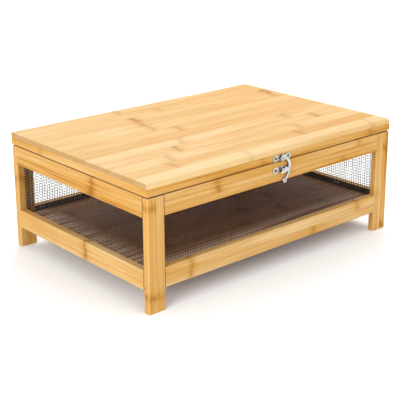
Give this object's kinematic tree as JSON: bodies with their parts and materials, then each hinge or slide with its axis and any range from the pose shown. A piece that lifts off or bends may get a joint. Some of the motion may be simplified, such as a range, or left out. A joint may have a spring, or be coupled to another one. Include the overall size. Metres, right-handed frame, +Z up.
{
  "type": "hamster cage",
  "caption": "Low bamboo cage for a small animal: wire-mesh sides on corner posts, a solid floor, a lid hinged at the back and a hook latch at the front.",
  "frame": {"origin": "middle of the footprint, at the bottom of the feet", "axes": "+X to the right seen from the front, -Y towards the front with the latch, +Z up"},
  "size_m": [0.4, 0.2803, 0.15],
  "materials": {
    "bamboo": "laminated bamboo under a thin satin lacquer",
    "floor_wood": "laminated bamboo, sanded",
    "dowel_wood": "fluted hardwood",
    "mesh_wire": "woven wire with a dark coating",
    "staple_steel": "galvanised wire",
    "hinge_nickel": "nickel plate",
    "latch_nickel": "bright nickel plate",
    "bumper_rubber": "thin dark rubber"
  },
  "bodies": {
    "case": {"back_bottom_rail": "bamboo", "back_floor_cleat": "floor_wood", "back_mesh": "mesh_wire", "back_top_rail": "bamboo", "catch_plate": "latch_nickel", "catch_plate_screws": "latch_nickel", "catch_stud": "latch_nickel", "corner_nails": "staple_steel", "floor_panel": "floor_wood", "front_bottom_rail": "bamboo", "front_floor_cleat": "floor_wood", "front_mesh": "mesh_wire", "front_top_rail": "bamboo", "hinge_case_screws": "hinge_nickel", "hinge_pins": "hinge_nickel", "left_bottom_rail": "bamboo", "left_hinge_case_leaf": "hinge_nickel", "left_mesh": "mesh_wire", "left_top_rail": "bamboo", "lid_bumpers": "bumper_rubber", "long_rail_dowels": "dowel_wood", "mesh_staples": "staple_steel", "post_back_left": "bamboo", "post_back_right": "bamboo", "post_front_left": "bamboo", "post_front_right": "bamboo", "right_bottom_rail": "bamboo", "right_hinge_case_leaf": "hinge_nickel", "right_mesh": "mesh_wire", "right_top_rail": "bamboo", "side_rail_dowels": "dowel_wood"},
    "lid": {"hinge_lid_screws": "hinge_nickel", "latch_pivot": "latch_nickel", "latch_plate": "latch_nickel", "latch_plate_screws": "latch_nickel", "left_hinge_lid_leaf": "hinge_nickel", "lid_back_batten": "bamboo", "lid_board": "bamboo", "lid_front_batten": "bamboo", "lid_left_batten": "bamboo", "lid_right_batten": "bamboo", "right_hinge_lid_leaf": "hinge_nickel"},
    "latch_lever": {"latch_lever": "latch_nickel"}
  },
  "joints": [
    {"name": "lid_hinge", "type": "hinge", "parent": "case", "child": "lid", "pos_m": [0, 0.13805, 0.13425], "axis": [-1, 0, 0], "range_deg": [0, 180]},
    {"name": "latch_swing", "type": "hinge", "parent": "lid", "child": "latch_lever", "pos_m": [0, -0.138, 0.139], "axis": [0, -1, 0], "range_deg": [0, 110]}
  ]
}
